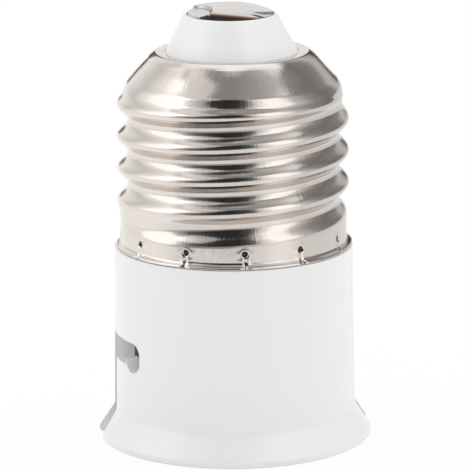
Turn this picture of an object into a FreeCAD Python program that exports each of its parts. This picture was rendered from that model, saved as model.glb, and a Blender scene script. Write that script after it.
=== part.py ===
import FreeCAD, Part
import math
import os
import Sketcher

# Lamp socket adapter: a 27 mm screw cap on top of a 22 mm bayonet socket.
# The origin is the centre of the socket's mouth rim, +Z points up to the centre contact,
# and azimuths turn anticlockwise from +X, seen from above. Millimetres and degrees.

DRIVING_SIZES = {
    # Housing, outside
    "rim_radius": 15.46,
    "rim_land": 0.72,
    "flare_height": 3.3,
    "socket_wall": 2.26,
    "body_taper": 0.21,
    "shoulder_height": 22.0,
    "shoulder_round": 0.6,
    "rim_wall": 2.1,
    # Housing, bayonet socket
    "socket_depth": 14.0,
    "mouth_bevel_height": 2.9,
    "seat_width": 1.6,
    "seat_step": 0.2,
    "carrier_seat_depth": 0.9,
    "carrier_play": 0.15,
    # Bayonet slots
    "slot_azimuth": 179.0,
    "slot_entry_angle": 12.5,
    "slot_top_height": 12.15,
    "branch_height": 2.65,
    "notch_azimuth": 212.6,
    "notch_flat": 0.39,
    "notch_depth": 0.64,
    # Housing, stem and cone
    "stem_play": 0.1,
    "stem_wall": 1.98,
    "cavity_neck_depth": 2.0,
    "cavity_roof_depth": 2.6,
    "cavity_roof_taper": 2.6,
    "cone_taper": 2.08,
    "cone_height": 4.15,
    "post_inset": 1.7,
    "post_radius": 2.0,
    "post_length": 9.0,
    # Screw shell
    "sheet": 0.3,
    "skirt_step": 0.28,
    "skirt_height": 3.5,
    "lip_width": 0.39,
    "lip_height": 1.0,
    "thread_depth": 1.05,
    "crest_width": 0.65,
    "root_width": 1.05,
    "thread_pitch": 3.6286,
    "thread_length": 13.9,
    "root_start_azimuth": 235.0,
    "root_start_rise": 0.63,
    "thread_turns": 3.95,
    "neck_height": 0.8,
    "dome_height": 3.9,
    "dome_step": 0.83,
    "dome_width": 3.4,
    "dome_bulge": 0.12,
    "shell_top_width": 1.42,
    "shell_top_clearance": 0.05,
    "stake_rise": 1.7,
    "stake_width": 0.8,
    "stake_depth": 0.2,
    "stake_count": 12,
    "stake_azimuth": 275.5,
    # Centre contact
    "contact_border": 0.42,
    "contact_thickness": 1.05,
    "contact_edge_bevel": 0.2,
    "contact_edge_height": 0.45,
    "contact_recess": 0.45,
    "contact_play": 0.04,
    "shank_radius": 1.65,
    "shank_bore_radius": 0.9,
    "shank_flange_radius": 2.2,
    "shank_flange_height": 0.6,
    "dent_radius": 1.5,
    "dent_inset": 0.98,
    "dent_depth": 0.4,
    "dent_azimuth": 190.0,
    "fold_azimuth": 243.3,
    "fold_width": 1.38,
    "fold_drop": 0.55,
    # Contact carrier and its screws
    "carrier_thickness": 2.5,
    "tower_wall": 0.75,
    "tower_gap": 1.3,
    "tower_height": 7.9,
    "contact_spacing": 10.0,
    "contact_azimuth": 122.6,
    "screw_head_radius": 1.9,
    "screw_head_height": 0.9,
    "screw_head_recess": 0.3,
    "screw_shank_radius": 1.0,
    "screw_length": 8.5,
    "screw_play": 0.05,
    "cross_width": 0.45,
    "cross_depth": 0.5,
    # Plungers and springs
    "plunger_radius": 1.9,
    "plunger_play": 0.05,
    "plunger_reach": 4.4,
    "plunger_tip_round": 0.6,
    "plunger_bore_length": 2.0,
    "plunger_stop_gap": 0.05,
    "collar_radius": 2.45,
    "collar_thickness": 1.0,
    "collar_play": 0.1,
    "tail_radius": 1.1,
    "tail_share": 0.395,
    "spring_play": 0.25,
    "spring_wire": 0.4,
    "spring_coils": 4.75,
    "spring_end_gap": 0.02,
    # Terminals, wires and solder
    "terminal_thickness": 0.5,
    "terminal_collar_height": 0.9,
    "terminal_collar_wall": 0.3,
    "tag_width": 1.6,
    "tag_thickness": 0.5,
    "tag_height": 2.2,
    "core_radius": 0.35,
    "sleeve_radius": 0.75,
    "sleeve_play": 0.01,
    "sleeve_gap": 0.2,
    "live_bend_share": 0.46,
    "live_top_share": 0.64,
    "neutral_hole_depth": 2.3,
    "neutral_hole_radius": 0.85,
    "solder_radius": 1.05,
    "solder_height": 1.9,
}

# Lengths and counts that no real size depends on
CUT_MARGIN = 2.0
WIRE_SIDES = 12
SPRING_SIDES = 6
SPRING_CHORDS = 12
DOME_STEPS = 3
DOME_OUTWARD = 0.8
DOME_UPWARD = 0.6

doc = FreeCAD.newDocument("LampSocketAdapter")
sheet = doc.addObject("Spreadsheet::Sheet", "Sizes")
for row, (alias, number) in enumerate(DRIVING_SIZES.items(), start=1):
    sheet.set(f"A{row}", alias)
    sheet.set(f"B{row}", str(number))
    sheet.setAlias(f"B{row}", alias)
doc.recompute()


class Size:
    """A number and the sheet expression that it comes from."""

    def __init__(self, value, text):
        self.value = float(value)
        self.text = text

    def __add__(self, other):
        other = as_size(other)
        return Size(self.value + other.value, f"({self.text} + {other.text})")

    def __sub__(self, other):
        other = as_size(other)
        return Size(self.value - other.value, f"({self.text} - {other.text})")

    def __mul__(self, other):
        other = as_size(other)
        return Size(self.value * other.value, f"({self.text} * {other.text})")

    def __truediv__(self, other):
        other = as_size(other)
        return Size(self.value / other.value, f"({self.text} / {other.text})")

    def __neg__(self):
        return as_size(0) - self


def as_size(thing):
    if isinstance(thing, Size):
        return thing
    return Size(thing, str(thing))


def size(alias):
    return Size(sheet.get(alias), f"Sizes.{alias}")


def cosine(angle):
    return Size(math.cos(math.radians(angle.value)), f"cos({angle.text})")


def sine(angle):
    return Size(math.sin(math.radians(angle.value)), f"sin({angle.text})")


def bind(item, path, amount):
    """Ties one property of an object to the sheet."""
    item.setExpression(path, as_size(amount).text)


def vector(across, along):
    return FreeCAD.Vector(as_size(across).value, as_size(along).value, 0)


def new_body(label):
    body = doc.addObject("PartDesign::Body", label)
    body.Label = label
    return body


def origin_feature(body, role):
    for feature in body.Origin.OriginFeatures:
        if feature.Role == role:
            return feature
    raise ValueError(role)


def new_sketch(body, name, plane="XZ_Plane"):
    sketch = body.newObject("Sketcher::SketchObject", name)
    sketch.AttachmentSupport = [(origin_feature(body, plane), "")]
    sketch.MapMode = "FlatFace"
    return sketch


def pin_point(sketch, edge, end, point):
    """Holds one end of a sketch edge at a point given by two sizes."""
    across, along = (as_size(part) for part in point)
    for kind, amount in (("DistanceX", across), ("DistanceY", along)):
        constraint = Sketcher.Constraint(kind, -1, 1, edge, end, amount.value)
        bind(sketch, f"Constraints[{sketch.addConstraint(constraint)}]", amount)


def arc_middle(start, end, centre_along, side):
    """The middle of an arc whose centre has a given height. Side is 1 to bulge left of its chord."""
    chord = end - start
    normal = FreeCAD.Vector(-chord.y, chord.x, 0).normalize()
    halfway = (start + end) / 2
    centre = halfway + normal * ((centre_along - halfway.y) / normal.y)
    return centre + normal * (side * centre.distanceToPoint(start))


def draw_outline(sketch, points):
    """A closed outline. A point with a third entry, (centre height, side), starts an arc."""
    count = len(points)
    ends = []
    for index, point in enumerate(points):
        start = vector(*point[:2])
        end = vector(*points[(index + 1) % count][:2])
        if len(point) == 2:
            sketch.addGeometry(Part.LineSegment(start, end))
            ends.append((1, 2))
            continue
        arc = Part.Arc(start, arc_middle(start, end, point[2][0].value, point[2][1]), end)
        edge = sketch.addGeometry(arc)
        drawn_forwards = sketch.getPoint(edge, 1).distanceToPoint(start) < start.distanceToPoint(end) / 2
        ends.append((1, 2) if drawn_forwards else (2, 1))
    for index, point in enumerate(points):
        following = (index + 1) % count
        sketch.addConstraint(
            Sketcher.Constraint("Coincident", index, ends[index][1], following, ends[following][0]))
        pin_point(sketch, index, ends[index][0], point[:2])
        if len(point) == 3:
            centre_height = point[2][0]
            constraint = Sketcher.Constraint("DistanceY", -1, 1, index, 3, centre_height.value)
            bind(sketch, f"Constraints[{sketch.addConstraint(constraint)}]", centre_height)
    return sketch


def revolve(body, name, points):
    sketch = draw_outline(new_sketch(body, f"{name}Outline"), points)
    feature = body.newObject("PartDesign::Revolution", name)
    feature.Profile = sketch
    feature.ReferenceAxis = (sketch, ["V_Axis"])
    feature.Angle = 360
    return feature


def cylinder(body, name, kind, radius, height, low, out=0, azimuth=0, angle=None):
    """An upright round feature, at a distance out from the axis in the direction of an azimuth."""
    feature = body.newObject(f"PartDesign::{kind}Cylinder", name)
    bind(feature, "Radius", radius)
    bind(feature, "Height", height)
    if angle is not None:
        bind(feature, "Angle", angle)
    azimuth = as_size(azimuth)
    bind(feature, "Placement.Base.x", as_size(out) * cosine(azimuth))
    bind(feature, "Placement.Base.y", as_size(out) * sine(azimuth))
    bind(feature, "Placement.Base.z", low)
    bind(feature, "Placement.Rotation.Angle", azimuth)
    feature.Placement.Rotation.Axis = FreeCAD.Vector(0, 0, 1)
    return feature


def pattern(body, name, features, count):
    doc.recompute()
    copies = body.newObject("PartDesign::PolarPattern", name)
    copies.Originals = features
    copies.Axis = (origin_feature(body, "Z_Axis"), [""])
    copies.Angle = 360
    bind(copies, "Occurrences", count)
    body.Tip = copies
    doc.recompute()
    return copies


def turn_body(body, azimuth, out=0):
    """Stands a body off the lamp's axis, with its own X pointing outwards."""
    azimuth = as_size(azimuth)
    body.Placement.Rotation = FreeCAD.Rotation(FreeCAD.Vector(0, 0, 1), azimuth.value)
    bind(body, "Placement.Base.x", as_size(out) * cosine(azimuth))
    bind(body, "Placement.Base.y", as_size(out) * sine(azimuth))
    bind(body, "Placement.Rotation.Angle", azimuth)


sheet_metal = size("sheet")
half_spacing = size("contact_spacing") / 2
well_radius = size("collar_radius") + size("collar_play")
tower_radius = well_radius + size("tower_wall")
terminal_collar_radius = well_radius - size("plunger_play")
terminal_collar_bore = terminal_collar_radius - size("terminal_collar_wall")
spring_radius = terminal_collar_bore - size("spring_play") - size("spring_wire") / 2
cavity_radius = half_spacing + tower_radius + size("tower_gap")
cavity_roof_radius = cavity_radius - size("cavity_roof_taper")
post_offset = cavity_radius - size("post_inset")
carrier_bore_radius = cavity_radius + size("seat_width")
socket_radius = carrier_bore_radius + size("seat_step")
waist_radius = socket_radius + size("socket_wall")
shoulder_radius = waist_radius - size("body_taper")
notch_width = size("branch_height") + size("notch_depth") - size("notch_flat")
stem_radius = cavity_radius + size("stem_wall")
shell_bore_radius = stem_radius + size("stem_play")
root_radius = shell_bore_radius + sheet_metal
crest_radius = root_radius + size("thread_depth")
skirt_radius = crest_radius - size("skirt_step")
lip_radius = skirt_radius + size("lip_width")
spigot_radius = skirt_radius - sheet_metal - size("stem_play")
dome_base_radius = crest_radius - size("dome_step")
shell_top_radius = dome_base_radius - size("dome_width")
cone_base_radius = shell_top_radius - size("shell_top_width")
cone_top_radius = cone_base_radius - size("cone_taper")
contact_radius = cone_top_radius - size("contact_border")
dent_offset = contact_radius - size("dent_inset")
fold_offset = contact_radius - size("fold_width")
skirt_top_height = size("shoulder_height") + size("skirt_height")
thread_top_height = skirt_top_height + size("thread_length")
dome_base_height = thread_top_height + size("neck_height")
shell_top_height = dome_base_height + size("dome_height")
shell_inner_top = shell_top_height - sheet_metal
cavity_roof_height = shell_top_height - size("cavity_roof_depth")
recess_floor = shell_top_height + size("cone_height") - size("contact_recess")
barb_height = size("slot_top_height") - size("branch_height")
carrier_seat_height = size("shoulder_height") - size("carrier_seat_depth")
carrier_face_height = carrier_seat_height - size("carrier_thickness")
tower_top_height = carrier_seat_height + size("tower_height")
well_floor_height = carrier_face_height + size("plunger_bore_length")
plunger_shoulder_height = well_floor_height + size("plunger_stop_gap")
collar_top_height = plunger_shoulder_height + size("collar_thickness")
neutral_bend_height = dome_base_height - size("neutral_hole_depth")


def make_housing():
    """One moulding: flared mouth, slotted socket, shoulder, stem and cone."""
    body = new_body("housing")
    spigot_top = skirt_top_height - sheet_metal - size("stem_play") * 2
    stem_shoulder = dome_base_height - sheet_metal
    cone_top = shell_top_height + size("cone_height")
    recess_radius = contact_radius + size("contact_play")
    shank_hole = size("shank_radius") + size("contact_play")
    revolve(body, "Moulding", [
        (size("rim_radius"), 0),
        (size("rim_radius"), size("rim_land")),
        (waist_radius, size("flare_height")),
        (shoulder_radius, size("shoulder_height") - size("shoulder_round")),
        (shoulder_radius - size("shoulder_round"), size("shoulder_height")),
        (spigot_radius, size("shoulder_height")),
        (spigot_radius, spigot_top),
        (stem_radius, spigot_top + sheet_metal * 2),
        (stem_radius, stem_shoulder),
        (shell_top_radius - sheet_metal, shell_inner_top - size("stem_play")),
        (cone_base_radius, shell_inner_top - size("stem_play")),
        (cone_base_radius, shell_top_height),
        (cone_top_radius, cone_top),
        (recess_radius, cone_top),
        (recess_radius, recess_floor),
        (shank_hole, recess_floor),
        (shank_hole, cavity_roof_height),
        (cavity_roof_radius, cavity_roof_height),
        (cavity_radius, dome_base_height - size("cavity_neck_depth")),
        (cavity_radius, carrier_seat_height),
        (carrier_bore_radius, carrier_seat_height),
        (carrier_bore_radius, size("socket_depth")),
        (socket_radius, size("socket_depth")),
        (socket_radius, size("mouth_bevel_height")),
        (size("rim_radius") - size("rim_wall"), 0),
    ])
    cutter_radius = size("rim_radius") + CUT_MARGIN
    entry = cylinder(body, "SlotEntry", "Subtractive", cutter_radius, size("slot_top_height") + CUT_MARGIN,
                     as_size(-CUT_MARGIN), 0, size("slot_azimuth"), size("slot_entry_angle"))
    branch_angle = size("notch_azimuth") - size("slot_azimuth")
    branch = cylinder(body, "SlotBranch", "Subtractive", cutter_radius,
                      size("branch_height"), barb_height, 0, size("slot_azimuth"), branch_angle)
    notch_sketch = new_sketch(body, "NotchOutline", "YZ_Plane")
    half = notch_width / 2
    low = barb_height - size("notch_depth") + half
    high = size("slot_top_height") - half
    draw_outline(notch_sketch, [
        (half, low),
        (half, high, (high, -1)),
        (-half, high),
        (-half, low, (low, -1)),
    ])
    bind(notch_sketch, "AttachmentOffset.Rotation.Angle", size("notch_azimuth"))
    notch_sketch.AttachmentOffset = FreeCAD.Placement(
        FreeCAD.Vector(0, 0, 0), FreeCAD.Rotation(FreeCAD.Vector(0, 1, 0), size("notch_azimuth").value))
    doc.recompute()
    notch = body.newObject("PartDesign::Pocket", "SlotNotch")
    notch.Profile = notch_sketch
    notch.Reversed = True
    bind(notch, "Length", cutter_radius)
    pattern(body, "BayonetSlots", [entry, branch, notch], 2)
    post = cylinder(body, "ScrewPost", "Additive", size("post_radius"), size("post_length"),
                    carrier_seat_height, post_offset, size("contact_azimuth") + 90)
    pilot = cylinder(body, "PilotHole", "Subtractive", size("screw_shank_radius") + size("screw_play"),
                     size("post_length"), carrier_seat_height - size("screw_play"),
                     post_offset, size("contact_azimuth") + 90)
    pattern(body, "ScrewPosts", [post, pilot], 2)
    wire_hole = body.newObject("PartDesign::SubtractiveCylinder", "NeutralWireHole")
    bind(wire_hole, "Radius", size("neutral_hole_radius"))
    bind(wire_hole, "Height", stem_radius + CUT_MARGIN)
    aim = FreeCAD.Rotation(FreeCAD.Vector(0, 0, 1), size("contact_azimuth").value + 180)
    aim = aim.multiply(FreeCAD.Rotation(FreeCAD.Vector(0, 1, 0), 90))
    wire_hole.Placement = FreeCAD.Placement(FreeCAD.Vector(0, 0, 0), aim)
    bind(wire_hole, "Placement.Base.z", neutral_bend_height)
    body.Tip = wire_hole
    return body


def dome_outline():
    """Points along the domed shoulder, from the thread up to the flat top ring."""
    low = (dome_base_radius, dome_base_height)
    high = (shell_top_radius, shell_top_height)
    points = [low]
    for step in range(1, DOME_STEPS):
        share = step / DOME_STEPS
        bulge = size("dome_bulge") * (4 * share * (1 - share))
        points.append((low[0] + (high[0] - low[0]) * share + bulge * DOME_OUTWARD,
                       low[1] + (high[1] - low[1]) * share + bulge * DOME_UPWARD))
    return points + [high]


def make_screw_shell():
    """Rolled sheet: lip, skirt, thread, dome and flat top ring, staked to the housing."""
    body = new_body("screw_shell")
    low = size("shoulder_height")
    rise = crest_radius - skirt_radius
    ring_radius = cone_base_radius + size("shell_top_clearance")
    revolve(body, "RolledWall", [
        (lip_radius, low),
        (skirt_radius, low + size("lip_height")),
        (skirt_radius, skirt_top_height),
        (crest_radius, skirt_top_height + rise * 2),
        (crest_radius, thread_top_height),
        *dome_outline(),
        (ring_radius, shell_top_height),
        (ring_radius, shell_inner_top),
        (shell_top_radius - sheet_metal / 2, shell_inner_top),
        (shell_bore_radius, dome_base_height),
        (shell_bore_radius, skirt_top_height + sheet_metal),
        (skirt_radius - sheet_metal, skirt_top_height - sheet_metal),
        (skirt_radius - sheet_metal, low + size("lip_height")),
        (lip_radius - sheet_metal, low),
    ])
    root_sketch = new_sketch(body, "RootOutline")
    reach = crest_radius + CUT_MARGIN / 4
    middle = skirt_top_height + size("root_start_rise")
    half_root = size("root_width") / 2
    half_gap = (size("thread_pitch") - size("crest_width")) / 2
    draw_outline(root_sketch, [
        (reach, middle - half_gap),
        (crest_radius, middle - half_gap),
        (root_radius, middle - half_root),
        (root_radius, middle + half_root),
        (crest_radius, middle + half_gap),
        (reach, middle + half_gap),
    ])
    turn_sketch(root_sketch, size("root_start_azimuth"))
    doc.recompute()
    thread = body.newObject("PartDesign::SubtractiveHelix", "Thread")
    thread.Profile = root_sketch
    thread.ReferenceAxis = (root_sketch, ["V_Axis"])
    thread.Mode = 1
    bind(thread, "Pitch", size("thread_pitch"))
    bind(thread, "Turns", size("thread_turns"))
    body.Tip = thread
    doc.recompute()
    stake = body.newObject("PartDesign::SubtractiveCylinder", "StakeDimple")
    bind(stake, "Radius", size("stake_width") / 2)
    bind(stake, "Height", size("stake_depth") + CUT_MARGIN)
    aim = FreeCAD.Rotation(FreeCAD.Vector(0, 0, 1), size("stake_azimuth").value)
    aim = aim.multiply(FreeCAD.Rotation(FreeCAD.Vector(0, 1, 0), 90))
    stake.Placement = FreeCAD.Placement(FreeCAD.Vector(0, 0, 0), aim)
    depth_radius = skirt_radius - size("stake_depth")
    bind(stake, "Placement.Base.x", depth_radius * cosine(size("stake_azimuth")))
    bind(stake, "Placement.Base.y", depth_radius * sine(size("stake_azimuth")))
    bind(stake, "Placement.Base.z", low + size("stake_rise"))
    pattern(body, "StakeDimples", [stake], size("stake_count"))
    return body


def turn_sketch(sketch, azimuth):
    """Turns a sketch on the XZ plane about the lamp's axis."""
    sketch.AttachmentOffset = FreeCAD.Placement(
        FreeCAD.Vector(0, 0, 0), FreeCAD.Rotation(FreeCAD.Vector(0, 1, 0), azimuth.value))
    bind(sketch, "AttachmentOffset.Rotation.Angle", azimuth)


def make_centre_contact():
    """Pressed contact: round head with a dent and a folded edge, and a hollow rivet shank."""
    body = new_body("centre_contact")
    top = recess_floor + size("contact_thickness")
    roof = cavity_roof_height
    flange_low = roof - size("shank_flange_height")
    revolve(body, "Rivet", [
        (0, top),
        (0, top - size("contact_thickness") / 2),
        (size("shank_bore_radius"), top - size("contact_thickness") / 2),
        (size("shank_bore_radius"), flange_low),
        (size("shank_flange_radius"), flange_low),
        (size("shank_flange_radius"), roof),
        (size("shank_radius"), roof),
        (size("shank_radius"), recess_floor),
        (contact_radius, recess_floor),
        (contact_radius, top - size("contact_edge_height")),
        (contact_radius - size("contact_edge_bevel"), top),
    ])
    cylinder(body, "Dent", "Subtractive", size("dent_radius"), size("dent_depth") + CUT_MARGIN,
             top - size("dent_depth"), dent_offset, size("dent_azimuth"))
    doc.recompute()
    fold_sketch = new_sketch(body, "FoldOutline")
    reach = contact_radius + CUT_MARGIN
    draw_outline(fold_sketch, [
        (fold_offset, top),
        (reach, top - size("fold_drop") * (reach - fold_offset)
         / (contact_radius - fold_offset)),
        (reach, top + CUT_MARGIN),
        (fold_offset, top + CUT_MARGIN),
    ])
    turn_sketch(fold_sketch, size("fold_azimuth"))
    doc.recompute()
    fold = body.newObject("PartDesign::Pocket", "FoldedEdge")
    fold.Profile = fold_sketch
    fold.Midplane = True
    bind(fold, "Length", contact_radius * 4)
    body.Tip = fold
    return body


def make_contact_carrier():
    """Insulating block: a disc on the housing's seat, with a tower for each plunger."""
    body = new_body("contact_carrier")
    turn_body(body, size("contact_azimuth"))
    disc_radius = carrier_bore_radius - size("carrier_play")
    cylinder(body, "Disc", "Additive", disc_radius, size("carrier_thickness"), carrier_face_height)
    tower = cylinder(body, "Tower", "Additive", tower_radius,
                     tower_top_height - carrier_face_height, carrier_face_height, half_spacing)
    bore = cylinder(body, "PlungerBore", "Subtractive", size("plunger_radius") + size("plunger_play"),
                    size("carrier_thickness") * 2, carrier_face_height - size("carrier_thickness"),
                    half_spacing)
    well = cylinder(body, "SpringWell", "Subtractive", well_radius,
                    tower_top_height - well_floor_height, well_floor_height, half_spacing)
    pattern(body, "Towers", [tower, bore, well], 2)
    shank = cylinder(body, "ScrewHole", "Subtractive", size("screw_shank_radius") + size("screw_play"),
                     size("carrier_thickness"), carrier_face_height, post_offset, as_size(90))
    head = cylinder(body, "HeadRecess", "Subtractive", size("screw_head_radius") + size("screw_play") * 2,
                    size("screw_head_height") + size("screw_head_recess"), carrier_face_height,
                    post_offset, as_size(90))
    pattern(body, "ScrewHoles", [shank, head], 2)
    return body


def make_carrier_screw(label, azimuth):
    """Self-tapping screw with a cross recess, driven up from the mouth."""
    body = new_body(label)
    turn_body(body, azimuth, post_offset)
    head_low = carrier_face_height + size("screw_head_recess")
    head_top = head_low + size("screw_head_height")
    revolve(body, "Turned", [
        (0, head_low),
        (size("screw_head_radius"), head_low),
        (size("screw_head_radius"), head_top),
        (size("screw_shank_radius"), head_top),
        (size("screw_shank_radius"), head_top + size("screw_length") - size("screw_shank_radius") * 2),
        (0, head_top + size("screw_length")),
    ])
    for name, across, along in (("CrossX", 1, 0), ("CrossY", 0, 1)):
        slot = body.newObject("PartDesign::SubtractiveBox", name)
        long_side = size("screw_head_radius") * 1.3
        sides = {"Length": long_side if across else size("cross_width"),
                 "Width": long_side if along else size("cross_width")}
        bind(slot, "Height", size("cross_depth"))
        bind(slot, "Length", sides["Length"])
        bind(slot, "Width", sides["Width"])
        bind(slot, "Placement.Base.x", -sides["Length"] / 2)
        bind(slot, "Placement.Base.y", -sides["Width"] / 2)
        bind(slot, "Placement.Base.z", head_low)
        body.Tip = slot
        doc.recompute()
    return body


def make_plunger(label, azimuth):
    """Turned pin: rounded tip, collar that stops on the carrier, and tail inside the spring."""
    body = new_body(label)
    turn_body(body, azimuth, half_spacing)
    tip = carrier_face_height - size("plunger_reach")
    tail_top = collar_top_height + (tower_top_height - collar_top_height) * size("tail_share")
    revolve(body, "Turned", [
        (0, tip),
        (size("plunger_radius") - size("plunger_tip_round"), tip),
        (size("plunger_radius"), tip + size("plunger_tip_round")),
        (size("plunger_radius"), plunger_shoulder_height),
        (size("collar_radius"), plunger_shoulder_height),
        (size("collar_radius"), collar_top_height),
        (size("tail_radius"), collar_top_height),
        (size("tail_radius"), tail_top),
        (0, tail_top),
    ])
    return body


def azimuth_point(out, azimuth, height):
    out = as_size(out)
    azimuth = as_size(azimuth)
    return FreeCAD.Vector((out * cosine(azimuth)).value, (out * sine(azimuth)).value, as_size(height).value)


def wire_route(points, start_cut=0, end_cut=0):
    """Straight runs joined by tangent arcs, in the upright plane through the two plungers."""
    azimuth = math.radians(size("contact_azimuth").value)
    places = []
    for out, height in points:
        out = as_size(out).value
        places.append(FreeCAD.Vector(out * math.cos(azimuth), out * math.sin(azimuth), as_size(height).value))
    edges = []
    first_run = places[1] - places[0]
    last_run = places[-1] - places[-2]
    start = places[0] + first_run.normalize() * as_size(start_cut).value
    finish = places[-1] - last_run.normalize() * as_size(end_cut).value
    for before, corner, after in zip(places, places[1:], places[2:]):
        inward = (corner - before).normalize()
        outward = (after - corner).normalize()
        half_turn = inward.getAngle(outward) / 2
        setback = 0.45 * min((corner - before).Length, (after - corner).Length)
        radius = setback / math.tan(half_turn)
        centre = corner + (outward - inward).normalize() * (radius / math.cos(half_turn))
        middle = centre + (corner - centre).normalize() * radius
        edges.append(Part.LineSegment(start, corner - inward * setback).toShape())
        edges.append(Part.Arc(corner - inward * setback, middle, corner + outward * setback).toShape())
        start = corner + outward * setback
        print(f"wire bend radius {radius:.2f} mm")
    edges.append(Part.LineSegment(start, finish).toShape())
    return Part.Wire(edges)


def ring_section(centre, direction, radius, sides):
    """A many-sided ring square to a direction."""
    across = direction.cross(FreeCAD.Vector(0, 0, 1))
    if across.Length < 0.001:
        across = FreeCAD.Vector(1, 0, 0)
    across = across.normalize() * radius
    turn = FreeCAD.Rotation(direction, 360 / sides)
    corners = []
    for _ in range(sides):
        corners.append(centre + across)
        across = turn.multVec(across)
    return Part.makePolygon(corners + [corners[0]])


def tube_along(route, radius, sides=WIRE_SIDES):
    start = route.Edges[0]
    direction = start.tangentAt(start.FirstParameter)
    ring = ring_section(start.valueAt(start.FirstParameter), direction, radius, sides)
    return route.makePipeShell([ring], True, False, 1)


def shape_feature(label, shape):
    feature = doc.addObject("Part::Feature", label)
    feature.Label = label
    feature.Shape = shape
    return feature


def make_plunger_spring(label, azimuth):
    """Compression spring between the plunger's collar and the terminal, as a helix of short chords."""
    half_wire = size("spring_wire") / 2
    low = collar_top_height + size("spring_end_gap") + half_wire
    rise = tower_top_height - size("spring_end_gap") - half_wire - low
    chords = round(size("spring_coils").value * SPRING_CHORDS)
    radius = spring_radius.value
    points = []
    for chord in range(chords + 1):
        angle = 2 * math.pi * chord / SPRING_CHORDS
        height = low.value + rise.value * chord / chords
        points.append(FreeCAD.Vector(radius * math.cos(angle), radius * math.sin(angle), height))
    coil = tube_along(Part.makePolygon(points), half_wire.value, SPRING_SIDES)
    spring = shape_feature(label, coil)
    spring.Placement = FreeCAD.Placement(
        azimuth_point(half_spacing, azimuth, 0),
        FreeCAD.Rotation(FreeCAD.Vector(0, 0, 1), as_size(azimuth).value))


def make_terminal(label, azimuth):
    """Flanged terminal on top of a tower, with a collar in the well and a solder tag."""
    body = new_body(label)
    turn_body(body, azimuth, half_spacing)
    low = tower_top_height
    top = low + size("terminal_thickness")
    revolve(body, "Flange", [
        (0, low),
        (terminal_collar_bore, low),
        (terminal_collar_bore, low - size("terminal_collar_height")),
        (terminal_collar_radius, low - size("terminal_collar_height")),
        (terminal_collar_radius, low),
        (tower_radius, low),
        (tower_radius, top),
        (0, top),
    ])
    tag = body.newObject("PartDesign::AdditiveBox", "SolderTag")
    bind(tag, "Length", size("tag_thickness"))
    bind(tag, "Width", size("tag_width"))
    bind(tag, "Height", size("tag_height"))
    bind(tag, "Placement.Base.x", -size("core_radius") - size("tag_thickness"))
    bind(tag, "Placement.Base.y", -size("tag_width") / 2)
    bind(tag, "Placement.Base.z", top)
    body.Tip = tag
    return body


def make_wire(name, points, start_strip, end_strip):
    """Conductor with a stripped end at each side of its insulating sleeve."""
    core = tube_along(wire_route(points), size("core_radius").value)
    core_room = tube_along(wire_route(points), size("core_radius").value + size("sleeve_play").value)
    sleeve = tube_along(wire_route(points, start_strip, end_strip), size("sleeve_radius").value)
    shape_feature(f"{name}_core", core)
    shape_feature(f"{name}_sleeve", sleeve.cut(core_room))
    return core


def make_tag_solder(label, core, azimuth):
    """Cone of solder round the conductor on the terminal, beside its tag."""
    low = tower_top_height + size("terminal_thickness")
    base = azimuth_point(half_spacing, azimuth, low)
    blob = Part.makeCone(size("solder_radius").value, size("core_radius").value * 1.4,
                         size("solder_height").value, base)
    tag = Part.makeBox(size("tag_thickness").value, size("tag_width").value, size("tag_height").value,
                       FreeCAD.Vector(-size("core_radius").value - size("tag_thickness").value,
                                      -size("tag_width").value / 2, 0))
    tag.Placement = FreeCAD.Placement(base, FreeCAD.Rotation(FreeCAD.Vector(0, 0, 1), azimuth.value))
    behind = Part.makeBox(CUT_MARGIN, CUT_MARGIN * 2, CUT_MARGIN,
                          FreeCAD.Vector(-size("core_radius").value - CUT_MARGIN, -CUT_MARGIN, 0))
    behind.Placement = tag.Placement
    shape_feature(label, blob.cut(behind).cut(core))


def make_wiring():
    """Live wire to the centre contact, neutral wire to the shell, and their four soldered joints."""
    tag_foot = tower_top_height + size("terminal_thickness")
    contact_end = recess_floor + size("contact_thickness") / 2
    flange_low = cavity_roof_height - size("shank_flange_height")
    headroom = flange_low - tag_foot
    sleeve_strip = size("tag_height") + size("sleeve_gap")
    live_core = make_wire(
        "live_wire",
        [(half_spacing, tag_foot), (half_spacing, tag_foot + headroom * size("live_bend_share")),
         (as_size(0), tag_foot + headroom * size("live_top_share")), (as_size(0), contact_end)],
        sleeve_strip, contact_end - flange_low + size("sleeve_radius"))
    neutral_core = make_wire(
        "neutral_wire",
        [(-half_spacing, tag_foot), (-half_spacing, neutral_bend_height),
         (-(shell_bore_radius - size("spring_end_gap")), neutral_bend_height)],
        sleeve_strip, shell_bore_radius - stem_radius + size("sleeve_radius") * 2)
    live_azimuth = size("contact_azimuth")
    neutral_azimuth = live_azimuth + 180
    make_tag_solder("live_tag_solder", live_core, live_azimuth)
    make_tag_solder("neutral_tag_solder", neutral_core, neutral_azimuth)
    bead = Part.makeCylinder(size("shank_bore_radius").value, size("shank_flange_height").value * 3,
                             azimuth_point(0, 0, flange_low))
    shape_feature("contact_solder", bead.cut(live_core))
    outward = azimuth_point(1, neutral_azimuth, 0)
    depth = size("sleeve_radius").value
    inner_end = azimuth_point(stem_radius - depth, neutral_azimuth, neutral_bend_height)
    plug = Part.makeCylinder(size("neutral_hole_radius").value, depth + CUT_MARGIN, inner_end, outward)
    shell_room = Part.makeCylinder(shell_bore_radius.value, shell_top_height.value)
    shape_feature("shell_solder", plug.common(shell_room).cut(neutral_core))


def build():
    contact_azimuth = size("contact_azimuth")
    make_housing()
    make_screw_shell()
    make_centre_contact()
    make_contact_carrier()
    make_carrier_screw("carrier_screw_a", contact_azimuth + 90)
    make_carrier_screw("carrier_screw_b", contact_azimuth + 270)
    for side, turned in (("a", 0), ("b", 180)):
        make_plunger(f"plunger_{side}", contact_azimuth + turned)
        make_plunger_spring(f"plunger_spring_{side}", contact_azimuth + turned)
        make_terminal(f"terminal_{side}", contact_azimuth + turned)
    make_wiring()
    doc.recompute()


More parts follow.
